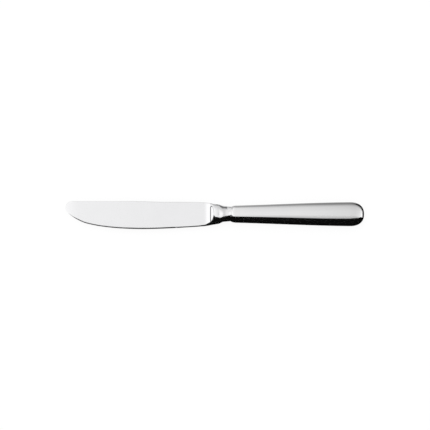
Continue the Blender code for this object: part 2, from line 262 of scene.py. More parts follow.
def rounded(amount, power):
    """Height of a superellipse at this share of its length: 1 in the middle, 0 at the end."""
    return np.maximum(1.0 - amount**power, 0.0) ** (1.0 / power)


def soft_min(first, second, width):
    """The lower of two heights, with the crease between them rounded over this width."""
    lean = np.clip(0.5 + 0.5 * (second - first) / width, 0.0, 1.0)
    return mix(second, first, lean) - width * lean * (1.0 - lean)


def soft_max(first, second, width):
    return -soft_min(-first, -second, width)


def spine_y(x):
    """Upper outline of the blade: rounded tip, slow fall of the spine, run down to the bolster."""
    corner = share(x, TIP_X + TIP_CORNER, TIP_X)
    tip = (SPINE_RISE - TIP_RISE) * (1.0 - rounded(corner, OUTLINE_POWER))
    fall = SPINE_FALL * smooth(share(x, FALL_X, FALL_X + FALL_LENGTH))
    heel = share(x, SHOULDER_X - 2 * HEEL_BLEND, SHOULDER_X) ** 2
    return mix(SPINE_RISE - tip - fall, SHOULDER_WIDTH / 2, heel)


def edge_y(x):
    """Cutting edge: a long belly from the tip to its deepest point, then a slow rise to the heel."""
    along = share(x, BELLY_X, TIP_X)
    belly = rounded(along, mix(OUTLINE_POWER, TIP_POWER, share(along, TIP_SHARE, 1.0)))
    rise = share(x, BELLY_X, SHOULDER_X) ** EDGE_RISE_POWER
    heel = share(x, SHOULDER_X - HEEL_BLEND, SHOULDER_X) ** 2
    return np.where(
        x < BELLY_X,
        mix(TIP_RISE, -BELLY_DROP, belly),
        mix(-BELLY_DROP, -SHOULDER_WIDTH / 2 - HEEL_DROP, rise) + HEEL_DROP * heel,
    )


def face_z(x, y):
    """Half the blade's thickness: a flat face that tapers to the tip and to the edge."""
    spine = mix(HEEL_THICKNESS, TIP_THICKNESS, (SHOULDER_X - x) / BLADE_LENGTH)
    lost = WEDGE * (SPINE_RISE - y) / (SPINE_RISE + BELLY_DROP)
    lift = HEEL_LIFT * share(x, SHOULDER_X - HEEL_BLEND, SHOULDER_X) ** 2
    ease = TIP_EASE * share(x, TIP_X + TIP_FADE, TIP_X) ** 2
    return (spine - lost) / 2 + lift - ease


def round_corner(height, distance, radius):
    """Height of a face at this distance from its outline, where its corner is a quarter round."""
    depth = np.minimum(radius, ROUND_LIMIT * height)
    inside = np.clip(1.0 - distance / radius, 0.0, 1.0)
    return height - depth * (1.0 - np.sqrt(1.0 - inside**2))


def eased_corner(height, distance, reach):
    """Height of a face at this distance from its outline, where it is eased away over this reach."""
    inside = np.clip(1.0 - distance / reach, 0.0, 1.0)
    return height * (1.0 - ROUND_LIMIT * inside**2)


def blade_height(x, y):
    """Half thickness of the blade at a point: rounded spine, flat face, ground edge, eased heel."""
    start = SHOULDER_X - HEEL_BLEND
    heel = share(x, start, SHOULDER_X)
    from_edge = y - edge_y(x)
    face = round_corner(face_z(x, y), spine_y(x) - y, mix(SPINE_RADIUS, SPINE_HEEL_RADIUS, heel))
    land = mix(EDGE_LAND, TIP_THICKNESS, share(x, TIP_X + TIP_FADE, TIP_X)) / 2
    steep = mix(EDGE_ANGLE, EDGE_STEEP_ANGLE, smooth(share(x, EDGE_STEEP_START, EDGE_STEEP_X)))
    angle = mix(steep, EDGE_ROOT_ANGLE, share(x, EDGE_STEEP_X, start) ** EDGE_ROOT_POWER)
    ground = land + from_edge * math.tan(math.radians(angle))
    bevelled = soft_min(face, ground, EDGE_SOFT)
    eased = eased_corner(face, from_edge, mix(EDGE_REACH, HEEL_REACH, heel))
    return mix(bevelled, eased, smooth(share(heel, 0.0, EASE_END)))


def bolster_section(x):
    """Half width, half thickness and the powers of both sides of the bolster: squarer to the collar."""
    along = (x - SHOULDER_X) / (COLLAR_X - SHOULDER_X)
    crest = (SHOULDER_X + BOLSTER_CREST - x) / BOLSTER_CREST
    half_width = mix(SHOULDER_WIDTH, COLLAR_WIDTH, along) / 2
    half_thickness = (BOLSTER_THICKNESS - (BOLSTER_THICKNESS - SHOULDER_THICKNESS) * crest**2) / 2
    squaring = along**SQUARING_POWER
    edge_power = mix(SHOULDER_POWER, COLLAR_POWER, squaring)
    spine_power = mix(SPINE_SHOULDER_POWER, SPINE_COLLAR_POWER, squaring)
    return half_width, half_thickness, edge_power, spine_power


def neck_section(x):
    """Half width, half thickness and the powers of both sides of the neck, which has a waist."""
    along = share(x, COLLAR_X, MOUTH_X)
    half_width = mix(NECK_FRONT_WIDTH, NECK_WIDTH, along) / 2
    half_thickness = NECK_THICKNESS / 2 + NECK_HOLLOW * (along - NECK_WAIST) ** 2
    return half_width, half_thickness, mix(NECK_FRONT_POWER, NECK_POWER, along), SPINE_NECK_POWER


def collar_step(x):
    """How far the bolster has given way to the neck, from 0 to 1."""
    return smooth(share(x, COLLAR_X, COLLAR_X + COLLAR_LENGTH))


def root_section(x):
    """Half width, half thickness and both powers from the shoulder, over the collar, to the mouth."""
    step = collar_step(x)
    return [mix(front, rear, step) for front, rear in zip(bolster_section(x), neck_section(x))]


def oval_height(y, half_width, half_thickness, power=SPIGOT_POWER):
    return half_thickness * rounded(np.minimum(np.abs(y) / half_width, 1.0), power)


def facet_height(x):
    """The ground shoulder: a plane that rises from the blade's face."""
    return face_z(SHOULDER_X, 0.0) + (x - SHOULDER_X) * math.tan(FACET_ANGLE)


def web_height(x, y, half_width):
    """The blade running on into the bolster, thinner until it is gone."""
    face = face_z(SHOULDER_X, y) * (1.0 - share(x, SHOULDER_X, WEB_END_X))
    inside = np.maximum(half_width - np.abs(y), 0.0)
    spine_side = round_corner(face, inside, SPINE_HEEL_RADIUS)
    edge_side = eased_corner(face, inside, HEEL_REACH)
    return np.where(y > 0.0, spine_side, edge_side)


def outline_points(low, high):
    """Heights from the upper outline to the lower one, closer together at both."""
    turns = np.linspace(0.0, math.pi, FACE_POINTS)
    return (high + low) / 2 + (high - low) / 2 * np.cos(turns)


def closed_ring(x, y, z):
    """A section with the same face on both sides of the blade's plane."""
    upper = np.column_stack((np.full_like(y, x), y, z))
    under = np.column_stack((np.full_like(y, x), y, -z))
    return np.concatenate((upper, under[::-1]))


def blade_ring(x):
    y = outline_points(edge_y(x), spine_y(x))
    return closed_ring(x, y, blade_height(x, y))


def root_ring(x):
    """Section from the shoulder to the mouth: the ground oval, with the blade's web run out in it."""
    half_width, half_thickness, edge_power, spine_power = root_section(x)
    y = outline_points(-half_width, half_width)
    dome = oval_height(y, half_width, half_thickness, np.where(y > 0.0, spine_power, edge_power))
    fading = smooth(share(x, WEB_END_X, SHOULDER_X))
    dome = mix(dome, eased_corner(dome, half_width + y, FLANK_REACH), fading)
    past_end = share(np.abs(y), D_HALF_LENGTH - FACET_SOFT, D_HALF_LENGTH + FACET_SOFT)
    bolster = soft_min(dome, facet_height(x), mix(FACET_SOFT, FLANK_SOFT, smooth(past_end)))
    run_out = share(x, SHOULDER_X, WEB_END_X)
    if run_out == 1.0:
        return closed_ring(x, y + NECK_SHIFT * collar_step(x), bolster)
    softness = mix(WEB_SOFT, WEB_BLEND, run_out)
    return closed_ring(x, y, soft_max(bolster, web_height(x, y, half_width), softness))


def oval_ring(x, half_width, half_thickness):
    y = outline_points(-half_width, half_width)
    return closed_ring(x, y, oval_height(y, half_width, half_thickness))


def tang_ring(x):
    """Flat section of the tang, with round notches in both of its edges."""
    along = share(x, SPIGOT_X, TANG_X)
    half_width = mix(TANG_WIDTH, TANG_END_WIDTH, along) / 2
    half_thickness = mix(TANG_THICKNESS, TANG_END_THICKNESS, along) / 2
    for i in range(NOTCH_COUNT):
        centre = mix(SPIGOT_X, TANG_X, (i + 1) / (NOTCH_COUNT + 1))
        half_width -= math.sqrt(max(NOTCH_RADIUS**2 - (x - centre) ** 2, 0.0))
    y = outline_points(-half_width, half_width)
    return closed_ring(x, y, round_corner(half_thickness, half_width - np.abs(y), TANG_ROUND))


def spread(start, end, count, power=1.0):
    """Stations after start up to end, closer together near start where power is over 1."""
    return start + (end - start) * (np.arange(1, count + 1) / count) ** power


def forging_rings():
    """Every section of the forging, from the tip to the end of the tang."""
    blade = np.concatenate((
        spread(TIP_X, BELLY_X, TIP_STATIONS, TIP_STATION_POWER),
        spread(BELLY_X, SHOULDER_X - HEEL_BLEND, BODY_STATIONS),
        spread(SHOULDER_X - HEEL_BLEND, SHOULDER_X, HEEL_STATIONS),
    ))
    neck_start = COLLAR_X + COLLAR_LENGTH
    neck_end = MOUTH_X - MOUTH_GAP
    root = np.concatenate((
        spread(SHOULDER_X, neck_start, BOLSTER_STATIONS),
        spread(neck_start, neck_end, NECK_STATIONS),
    ))
    rings = [blade_ring(x) for x in blade] + [root_ring(x) for x in root]
    inset = SHELL_WALL + SPIGOT_GAP
    spigot = (
        HANDLE_FRONT_WIDTH / 2 - SIDE_LIP_RISE - inset,
        HANDLE_FRONT_THICKNESS / 2 - TOP_LIP_RISE - inset,
    )
    groove = (spigot[0] - GROOVE_DEPTH, spigot[1] - GROOVE_DEPTH)
    groove_start = MOUTH_X + RING_START - SPIGOT_GAP
    groove_end = MOUTH_X + RING_START + RING_WIDTH + SPIGOT_GAP
    steps = (
        (neck_end, spigot),
        (groove_start, spigot),
        (groove_start, groove),
        (groove_end, groove),
        (groove_end, spigot),
        (SPIGOT_X, spigot),
    )
    rings += [oval_ring(x, *size) for x, size in steps]
    rings.append(tang_ring(SPIGOT_X))
    rings += [tang_ring(x) for x in spread(SPIGOT_X, TANG_X, TANG_STATIONS)]
    return rings


def painted_shade_amount(points):
    """Painted shade: 1 in the corner round the facet's foot, faint along the facet's ridge."""
    x = points[:, 0]
    y = points[:, 1]
    beyond = np.maximum(np.abs(y) - D_HALF_LENGTH + SHADE_LINE_ROUND, 0.0)
    before = np.maximum(SHOULDER_X + SHADE_LINE_ROUND - x, 0.0)
    from_corner = np.abs(np.hypot(beyond, before) - SHADE_LINE_ROUND)
    near = 1.0 - smooth(share(from_corner, 0.0, SHADE_LINE_WIDTH))
    reach = 1.0 - smooth(share(x - SHOULDER_X, SHADE_LINE_REACH / 2, SHADE_LINE_REACH))
    foot = near * reach * (np.hypot(beyond, before) > 0.0)
    below_plane = facet_height(x) - np.abs(points[:, 2])
    on_ridge = 1.0 - np.minimum(np.abs(below_plane - RIDGE_DROP) / RIDGE_DROP, 1.0)
    facet_side = (x > SHOULDER_X) & (x < WEB_END_X) & (np.abs(y) < D_HALF_LENGTH)
    return np.maximum(foot, RIDGE_SHADE * on_ridge * facet_side)


def build_forging(material):
    """Blade, bolster, neck, spigot and tang as one closed skin over the sections."""
    rings = forging_rings()
    points = np.concatenate(rings)
    # Painted shade, stored on the points for the material to darken the shoulder's foot and the facet's
    # ridge
    painted_shade = painted_shade_amount(points)
    shape = bmesh.new()
    layer = shape.verts.layers.float.new("painted_shade")
    verts = []
    for (x, y, z), dark in zip(points, painted_shade):
        vert = shape.verts.new((x, y + AXIS_Y, z + AXIS_Z))
        vert[layer] = dark
        verts.append(vert)
    count = len(rings[0])
    rows = [verts[i * count:(i + 1) * count] for i in range(len(rings))]
    for near, far in zip(rows, rows[1:]):
        for i in range(count):
            after = (i + 1) % count
            shape.faces.new((near[i], near[after], far[after], far[i]))
    shape.faces.new(rows[0])
    shape.faces.new(rows[-1])
    bmesh.ops.remove_doubles(shape, verts=shape.verts, dist=FORGING_WELD)
    bmesh.ops.recalc_face_normals(shape, faces=shape.faces)
    mesh = bpy.data.meshes.new("forged_blade")
    shape.to_mesh(mesh)
    shape.free()
    mesh.materials.append(material)
    mesh.shade_smooth()
    mesh.set_sharp_from_angle(angle=FORGING_SHARP_ANGLE)
    piece = bpy.data.objects.new("forged_blade", mesh)
    bpy.context.scene.collection.objects.link(piece)
    return piece


def add_node(tree, kind, settings=None, inputs=None):
    """Adds a node, gives it its settings, and sets or links its inputs."""
    node = tree.nodes.new(kind)
    for name, value in (settings or {}).items():
        setattr(node, name, value)
    for name, value in (inputs or {}).items():
        if isinstance(value, bpy.types.NodeSocket):
            tree.links.new(value, node.inputs[name])
        else:
            node.inputs[name].default_value = value
    return node


def linear(colour):
    """A hex sRGB colour as linear RGBA."""
    parts = [int(colour[i:i + 2], 16) / 255.0 for i in (1, 3, 5)]
    steps = [p / 12.92 if p <= 0.04045 else ((p + 0.055) / 1.055) ** 2.4 for p in parts]
    return (*steps, 1.0)


def set_stops(ramp, stops):
    """Gives a Color Ramp node these places and tones."""
    elements = ramp.color_ramp.elements
    elements.remove(elements[-1])
    elements[0].position, tone = stops[0]
    elements[0].color = (tone, tone, tone, 1.0)
    for at, tone in stops[1:]:
        elements.new(at).color = (tone, tone, tone, 1.0)


def shell_tree():
    """Geometry Nodes for half of the handle: a grid bent to superellipse sections along X."""
    tree = bpy.data.node_groups.new("handle_half_shell", "GeometryNodeTree")
    tree.interface.new_socket("Geometry", in_out="OUTPUT", socket_type="NodeSocketGeometry")
    sizes = (
        "Mouth X", "Dome X", "Butt X", "Axis Y", "Axis Z", "Front Half Width", "Rear Half Width",
        "Front Half Thickness", "Rear Half Thickness", "Front Swell", "Rear Hollow", "Lip Length",
        "Side Lip Rise", "Side Lip Power", "Top Lip Rise", "Top Lip Power",
        "Front Power", "Rear Power", "Butt Power", "Station Power", "Seam Gap", "Side",
    )
    for name in sizes:
        tree.interface.new_socket(name, in_out="INPUT", socket_type="NodeSocketFloat")
    for name in ("Stations", "Points"):
        tree.interface.new_socket(name, in_out="INPUT", socket_type="NodeSocketInt")
    tree.interface.new_socket("Material", in_out="INPUT", socket_type="NodeSocketMaterial")
    size = add_node(tree, "NodeGroupInput").outputs
    math_node = "ShaderNodeMath"
    range_node = "ShaderNodeMapRange"

    # Place along the handle: close stations at the lip, by angle round the butt
    grid = add_node(tree, "GeometryNodeMeshGrid", {}, {
        "Size X": 1.0, "Size Y": 1.0, "Vertices X": size["Stations"], "Vertices Y": size["Points"],
    })
    position = add_node(tree, "GeometryNodeInputPosition")
    place = add_node(tree, "ShaderNodeSeparateXYZ", {}, {0: position.outputs[0]})
    along = add_node(tree, math_node, {"operation": "ADD"}, {0: place.outputs[0], 1: 0.5})
    close = add_node(tree, math_node, {"operation": "POWER"}, {
        0: along.outputs[0], 1: size["Station Power"],
    })
    angle = add_node(tree, math_node, {"operation": "MULTIPLY"}, {0: close.outputs[0], 1: math.pi / 2})
    reach = add_node(tree, math_node, {"operation": "SINE"}, {0: angle.outputs[0]})
    x = add_node(tree, range_node, {}, {
        "Value": reach.outputs[0], "To Min": size["Mouth X"], "To Max": size["Butt X"],
    }).outputs[0]

    # Swell of the grip
    span = {"Value": x, "From Min": size["Mouth X"], "From Max": size["Dome X"]}
    ease = add_node(tree, range_node, {"interpolation_type": "SMOOTHSTEP"}, span).outputs[0]
    grip = add_node(tree, range_node, {}, span).outputs[0]
    left = add_node(tree, math_node, {"operation": "SUBTRACT"}, {0: 1.0, 1: grip})
    arch = add_node(tree, math_node, {"operation": "MULTIPLY"}, {0: grip, 1: left.outputs[0]})
    hollow = add_node(tree, math_node, {"operation": "MULTIPLY"}, {0: size["Rear Hollow"], 1: -1.0})
    flare = add_node(tree, range_node, {}, {
        "Value": grip, "To Min": size["Front Swell"], "To Max": hollow.outputs[0],
    })
    swell = add_node(tree, math_node, {"operation": "MULTIPLY"}, {
        0: arch.outputs[0], 1: flare.outputs[0],
    })

    # Rounded lip at the mouth
    lip_end = add_node(tree, math_node, {"operation": "ADD"}, {
        0: size["Mouth X"], 1: size["Lip Length"],
    })
    lip_share = add_node(tree, range_node, {}, {
        "Value": x, "From Min": size["Mouth X"], "From Max": lip_end.outputs[0],
        "To Min": 1.0, "To Max": 0.0,
    })

    # Rounded butt
    butt = add_node(tree, range_node, {}, {
        "Value": x, "From Min": size["Dome X"], "From Max": size["Butt X"],
    })
    butt_curve = add_node(tree, math_node, {"operation": "POWER"}, {
        0: butt.outputs[0], 1: size["Butt Power"],
    })
    butt_left = add_node(tree, math_node, {"operation": "SUBTRACT"}, {0: 1.0, 1: butt_curve.outputs[0]})
    butt_root = add_node(tree, math_node, {"operation": "DIVIDE"}, {0: 1.0, 1: size["Butt Power"]})
    dome = add_node(tree, math_node, {"operation": "POWER"}, {
        0: butt_left.outputs[0], 1: butt_root.outputs[0],
    })

    # Half width, half thickness and power of the section
    halves = {}
    for name, part, added in (("Half Width", "Side", swell.outputs[0]), ("Half Thickness", "Top", 0.0)):
        plain = add_node(tree, range_node, {}, {
            "Value": ease, "To Min": size["Front " + name], "To Max": size["Rear " + name],
        })
        lip_curve = add_node(tree, math_node, {"operation": "POWER"}, {
            0: lip_share.outputs[0], 1: size[part + " Lip Power"],
        })
        lip = add_node(tree, math_node, {"operation": "MULTIPLY"}, {
            0: lip_curve.outputs[0], 1: size[part + " Lip Rise"],
        })
        under_lip = add_node(tree, math_node, {"operation": "SUBTRACT"}, {
            0: plain.outputs[0], 1: lip.outputs[0],
        })
        swollen = add_node(tree, math_node, {"operation": "ADD"}, {0: under_lip.outputs[0], 1: added})
        halves[name] = add_node(tree, math_node, {"operation": "MULTIPLY"}, {
            0: swollen.outputs[0], 1: dome.outputs[0],
        })
    power = add_node(tree, range_node, {}, {
        "Value": ease, "To Min": size["Front Power"], "To Max": size["Rear Power"],
    })
    bend = add_node(tree, math_node, {"operation": "DIVIDE"}, {0: 2.0, 1: power.outputs[0]})

    # Turn round the section: from one seam to the other, so that faces point outwards on both sides
    sweep = add_node(tree, math_node, {"operation": "MULTIPLY"}, {0: size["Side"], 1: -math.pi})
    turn = add_node(tree, math_node, {"operation": "MULTIPLY_ADD"}, {
        0: place.outputs[1], 1: sweep.outputs[0], 2: math.pi / 2,
    })
    ring = {}
    for name in ("COSINE", "SINE"):
        wave = add_node(tree, math_node, {"operation": name}, {0: turn.outputs[0]})
        amount = add_node(tree, math_node, {"operation": "ABSOLUTE"}, {0: wave.outputs[0]})
        bent = add_node(tree, math_node, {"operation": "POWER"}, {
            0: amount.outputs[0], 1: bend.outputs[0],
        })
        sign = add_node(tree, math_node, {"operation": "SIGN"}, {0: wave.outputs[0]})
        ring[name] = add_node(tree, math_node, {"operation": "MULTIPLY"}, {
            0: bent.outputs[0], 1: sign.outputs[0],
        })
    y = add_node(tree, math_node, {"operation": "MULTIPLY_ADD"}, {
        0: halves["Half Width"].outputs[0], 1: ring["COSINE"].outputs[0], 2: size["Axis Y"],
    })
    half_gap = add_node(tree, math_node, {"operation": "MULTIPLY"}, {0: size["Seam Gap"], 1: 0.5})
    rise = add_node(tree, math_node, {"operation": "SUBTRACT"}, {
        0: halves["Half Thickness"].outputs[0], 1: half_gap.outputs[0],
    })
    height = add_node(tree, math_node, {"operation": "MULTIPLY_ADD"}, {
        0: rise.outputs[0], 1: ring["SINE"].outputs[0], 2: half_gap.outputs[0],
    })
    z = add_node(tree, math_node, {"operation": "MULTIPLY_ADD"}, {
        0: height.outputs[0], 1: size["Side"], 2: size["Axis Z"],
    })
    target = add_node(tree, "ShaderNodeCombineXYZ", {}, {0: x, 1: y.outputs[0], 2: z.outputs[0]})
    bent_grid = add_node(tree, "GeometryNodeSetPosition", {}, {
        "Geometry": grid.outputs["Mesh"], "Position": target.outputs[0],
    })
    merged = add_node(tree, "GeometryNodeMergeByDistance", {}, {
        "Geometry": bent_grid.outputs[0], "Distance": SHELL_WELD,
    })
    real = add_node(tree, "GeometryNodeRealizeInstances", {}, {"Geometry": merged.outputs[0]})
    painted = add_node(tree, "GeometryNodeSetMaterial", {}, {
        "Geometry": real.outputs[0], "Material": size["Material"],
    })
    add_node(tree, "NodeGroupOutput", {}, {0: painted.outputs[0]})
    return tree


def build_shell(name, side, tree, material):
    """One half of the handle: the tree's skin, thickened inwards, its rims rounded."""
    piece = bpy.data.objects.new(name, bpy.data.meshes.new(name + "_start"))
    bpy.context.scene.collection.objects.link(piece)
    values = {
        "Mouth X": MOUTH_X, "Dome X": DOME_X, "Butt X": BUTT_X, "Axis Y": AXIS_Y, "Axis Z": AXIS_Z,
        "Front Half Width": HANDLE_FRONT_WIDTH / 2, "Rear Half Width": HANDLE_WIDTH / 2,
        "Front Half Thickness": HANDLE_FRONT_THICKNESS / 2, "Rear Half Thickness": HANDLE_THICKNESS / 2,
        "Front Swell": FRONT_SWELL, "Rear Hollow": REAR_HOLLOW, "Lip Length": LIP_LENGTH,
        "Side Lip Rise": SIDE_LIP_RISE, "Side Lip Power": SIDE_LIP_POWER,
        "Top Lip Rise": TOP_LIP_RISE, "Top Lip Power": TOP_LIP_POWER,
        "Front Power": FRONT_POWER, "Rear Power": REAR_POWER, "Butt Power": BUTT_POWER,
        "Station Power": STATION_POWER, "Seam Gap": SEAM_GAP,
        "Side": float(side), "Stations": SHELL_STATIONS, "Points": SHELL_POINTS, "Material": material,
    }
    skin = piece.modifiers.new("skin", "NODES")
    skin.node_group = tree
    for socket in tree.interface.items_tree:
        if socket.in_out == "INPUT":
            skin[socket.identifier] = values[socket.name]
    wall = piece.modifiers.new("wall", "SOLIDIFY")
    wall.thickness = SHELL_WALL
    wall.offset = -1.0
    wall.use_even_offset = True
    rim = piece.modifiers.new("rim", "BEVEL")
    rim.width = RIM_ROUND
    rim.segments = RIM_SEGMENTS
    rim.limit_method = "ANGLE"
    rim.angle_limit = RIM_ANGLE
    evaluated = piece.evaluated_get(bpy.context.evaluated_depsgraph_get())
    mesh = bpy.data.meshes.new_from_object(evaluated)
    mesh.name = name
    piece.modifiers.clear()
    piece.data = mesh
    mesh.shade_smooth()
    mesh.set_sharp_from_angle(angle=SHELL_SHARP_ANGLE)
    return piece


def polished_steel(name, colour, grain_axis):
    """Mirror polished stainless steel: bright and neutral, with faint lines left by the buff, and
    painted shade at the foot of the shoulder.
    """
    material = bpy.data.materials.new(name)
    material.use_nodes = True
    tree = material.node_tree
    tree.nodes.clear()
    place = add_node(tree, "ShaderNodeTexCoord").outputs["Object"]

    # Buffing lines, drawn further apart than real ones so that they show at all
    line = 1.0 / LINE_SPACING
    stretch = [line, line, line]
    stretch[grain_axis] = line / LINE_STRETCH
    run = add_node(tree, "ShaderNodeMapping", {}, {"Vector": place, "Scale": stretch})
    lines = add_node(tree, "ShaderNodeTexNoise", {}, {
        "Vector": run.outputs[0], "Scale": 1.0, "Detail": 3.0, "Roughness": 0.6,
    })

    # Faint handling haze, in patches
    haze = add_node(tree, "ShaderNodeTexNoise", {}, {
        "Vector": place, "Scale": 1.0 / HAZE_SIZE, "Detail": 4.0, "Roughness": 0.55,
    })
    rough_lines = add_node(tree, "ShaderNodeMapRange", {}, {
        "Value": lines.outputs[0], "From Min": 0.3, "From Max": 0.7,
        "To Min": LINE_ROUGHNESS[0], "To Max": LINE_ROUGHNESS[1],
    })
    rough_haze = add_node(tree, "ShaderNodeMapRange", {}, {
        "Value": haze.outputs[0], "From Min": 0.35, "From Max": 0.75,
        "To Min": 0.0, "To Max": HAZE_ROUGHNESS,
    })
    rough = add_node(tree, "ShaderNodeMath", {"operation": "ADD"}, {
        0: rough_lines.outputs[0], 1: rough_haze.outputs[0],
    })

    # Painted shade in the corner at the foot of the shoulder and along the facet's ridge: darker and
    # rougher there
    painted_shade = add_node(tree, "ShaderNodeAttribute", {"attribute_name": "painted_shade"}).outputs["Fac"]
    rough_all = add_node(tree, "ShaderNodeMix", {}, {
        "Factor": painted_shade, "A": rough.outputs[0], "B": PAINTED_SHADE_ROUGHNESS,
    })
    tone = add_node(tree, "ShaderNodeMix", {"data_type": "RGBA"}, {
        "Factor": haze.outputs[0], "A": linear(colour), "B": linear(HAZE_COLOUR),
    })
    dark = add_node(tree, "ShaderNodeMix", {"data_type": "RGBA"}, {
        "Factor": painted_shade, "A": tone.outputs["Result"], "B": linear(PAINTED_SHADE_COLOUR),
    })
    bump = add_node(tree, "ShaderNodeBump", {}, {
        "Strength": LINE_BUMP, "Distance": LINE_DEPTH, "Height": lines.outputs[0],
    })
    shader = add_node(tree, "ShaderNodeBsdfPrincipled", {}, {
        "Base Color": dark.outputs["Result"], "Metallic": 1.0, "Roughness": rough_all.outputs["Result"],
        "Normal": bump.outputs[0],
    })
    add_node(tree, "ShaderNodeOutputMaterial", {}, {"Surface": shader.outputs[0]})
    return material


def plain_fill(name, low, high, grain, roughness, metallic):
    """Braze or cement: a cast, grainy fill inside the handle."""
    material = bpy.data.materials.new(name)
    material.use_nodes = True
    tree = material.node_tree
    tree.nodes.clear()
    place = add_node(tree, "ShaderNodeTexCoord").outputs["Object"]
    grains = add_node(tree, "ShaderNodeTexNoise", {}, {
        "Vector": place, "Scale": 1.0 / grain, "Detail": 5.0, "Roughness": 0.65,
    })
    tone = add_node(tree, "ShaderNodeMix", {"data_type": "RGBA"}, {
        "Factor": grains.outputs[0], "A": linear(low), "B": linear(high),
    })
    rough = add_node(tree, "ShaderNodeMapRange", {}, {
        "Value": grains.outputs[0],
        "To Min": roughness - GRAIN_ROUGHNESS, "To Max": roughness + GRAIN_ROUGHNESS,
    })
    bump = add_node(tree, "ShaderNodeBump", {}, {
        "Strength": GRAIN_BUMP, "Distance": grain / 4, "Height": grains.outputs[0],
    })
    shader = add_node(tree, "ShaderNodeBsdfPrincipled", {}, {
        "Base Color": tone.outputs["Result"], "Metallic": metallic, "Roughness": rough.outputs[0],
        "Normal": bump.outputs[0],
    })
    add_node(tree, "ShaderNodeOutputMaterial", {}, {"Surface": shader.outputs[0]})
    return material


def build_world():
    """White to the camera; metal mirrors a sky that is greyer over the handle and near the horizon."""
    world = bpy.data.worlds.new("studio")
    bpy.context.scene.world = world
    world.use_nodes = True
    tree = world.node_tree
    tree.nodes.clear()
    direction = add_node(tree, "ShaderNodeTexCoord").outputs["Generated"]
    side = add_node(tree, "ShaderNodeSeparateXYZ", {}, {0: direction})

    # Tone of the sky from the tip's end to the butt's end
    across = add_node(tree, "ShaderNodeMapRange", {}, {
        "Value": side.outputs[0], "From Min": -1.0, "From Max": 1.0,
    })
    ramp = add_node(tree, "ShaderNodeValToRGB", {}, {0: across.outputs[0]})
    set_stops(ramp, (
        (0.03, 0.985), (0.06, 0.88), (0.3, 0.88), (0.36, 0.985), (0.42, 0.985), (0.44, 0.94),
        (0.4575, 0.845), (0.475, 0.823), (0.49, 0.807), (0.5, 0.795), (0.508, 0.772), (0.513, 0.76),
        (0.518, 0.739), (0.5225, 0.716), (0.5305, 0.665), (0.5435, 0.65), (0.671, 0.646),
        (0.808, 0.703), (0.854, 0.731), (0.905, 0.784), (0.955, 0.95),
    ))

    # Greyer near the horizon on the spine side
    back = add_node(tree, "ShaderNodeMapRange", {}, {"Value": side.outputs[1], "From Max": 0.1})
    back_low = add_node(tree, "ShaderNodeValToRGB", {}, {0: side.outputs[2]})
    set_stops(back_low, (
        (0.0, 0.75), (0.165, 0.85), (0.45, 0.93), (0.7, 0.94), (0.84, 0.965), (0.95, 0.985), (1.0, 1.0),
    ))
    back_tone = add_node(tree, "ShaderNodeMix", {}, {
        "Factor": back.outputs[0], "A": 1.0, "B": back_low.outputs[0],
    })

    # Nearly black at the horizon past the butt
    right = add_node(tree, "ShaderNodeMapRange", {"interpolation_type": "SMOOTHSTEP"}, {
        "Value": side.outputs[0], "From Min": 0.3, "From Max": 0.6,
    })
    right_low = add_node(tree, "ShaderNodeMapRange", {"interpolation_type": "SMOOTHSTEP"}, {
        "Value": side.outputs[2], "From Min": 0.03, "From Max": 0.14, "To Min": 0.02, "To Max": 1.0,
    })
    right_tone = add_node(tree, "ShaderNodeMix", {}, {
        "Factor": right.outputs[0], "A": 1.0, "B": right_low.outputs[0],
    })
    low_tone = add_node(tree, "ShaderNodeMath", {"operation": "MULTIPLY"}, {
        0: back_tone.outputs["Result"], 1: right_tone.outputs["Result"],
    })
    level = add_node(tree, "ShaderNodeMath", {"operation": "MULTIPLY"}, {
        0: low_tone.outputs[0], 1: SKY_WHITE,
    })
    mirrored = add_node(tree, "ShaderNodeBackground", {}, {
        "Color": ramp.outputs[0], "Strength": level.outputs[0],
    })
    white = add_node(tree, "ShaderNodeBackground", {}, {"Color": WHITE, "Strength": 1.0})
    ray = add_node(tree, "ShaderNodeLightPath")
    seen = add_node(tree, "ShaderNodeMixShader", {}, {
        0: ray.outputs["Is Glossy Ray"], 1: white.outputs[0], 2: mirrored.outputs[0],
    })
    add_node(tree, "ShaderNodeOutputWorld", {}, {"Surface": seen.outputs[0]})


def build_floor():
    """White sweep: it glows white to the camera, to metal and to glass, and keeps a faint shadow."""
    material = bpy.data.materials.new("white_sweep")
    material.use_nodes = True
    tree = material.node_tree
    tree.nodes.clear()
    ray = add_node(tree, "ShaderNodeLightPath")
    seen = add_node(tree, "ShaderNodeMath", {"operation": "MAXIMUM"}, {
        0: ray.outputs["Is Camera Ray"], 1: ray.outputs["Is Glossy Ray"],
    })
    seen_all = add_node(tree, "ShaderNodeMath", {"operation": "MAXIMUM"}, {
        0: seen.outputs[0], 1: ray.outputs["Is Transmission Ray"],
    })
    glow_share = add_node(tree, "ShaderNodeMath", {"operation": "MULTIPLY"}, {
        0: seen_all.outputs[0], 1: FLOOR_GLOW,
    })
    paper = add_node(tree, "ShaderNodeBsdfDiffuse", {}, {"Color": linear(FLOOR_COLOUR)})
    glow = add_node(tree, "ShaderNodeEmission", {}, {"Color": WHITE, "Strength": 1.0})
    both = add_node(tree, "ShaderNodeMixShader", {}, {
        0: glow_share.outputs[0], 1: paper.outputs[0], 2: glow.outputs[0],
    })
    add_node(tree, "ShaderNodeOutputMaterial", {}, {"Surface": both.outputs[0]})
    half = FLOOR_SIZE / 2
    build_sheet("floor", level_board(-half, half, -half, half, 0.0), material)


def build_sheet(name, corners, material):
    """One flat face of the studio, not of the knife."""
    mesh = bpy.data.meshes.new(name)
    mesh.from_pydata(corners, [], [(0, 1, 2, 3)])
    mesh.materials.append(material)
    sheet = bpy.data.objects.new(name, mesh)
    bpy.context.scene.collection.objects.link(sheet)
    return sheet


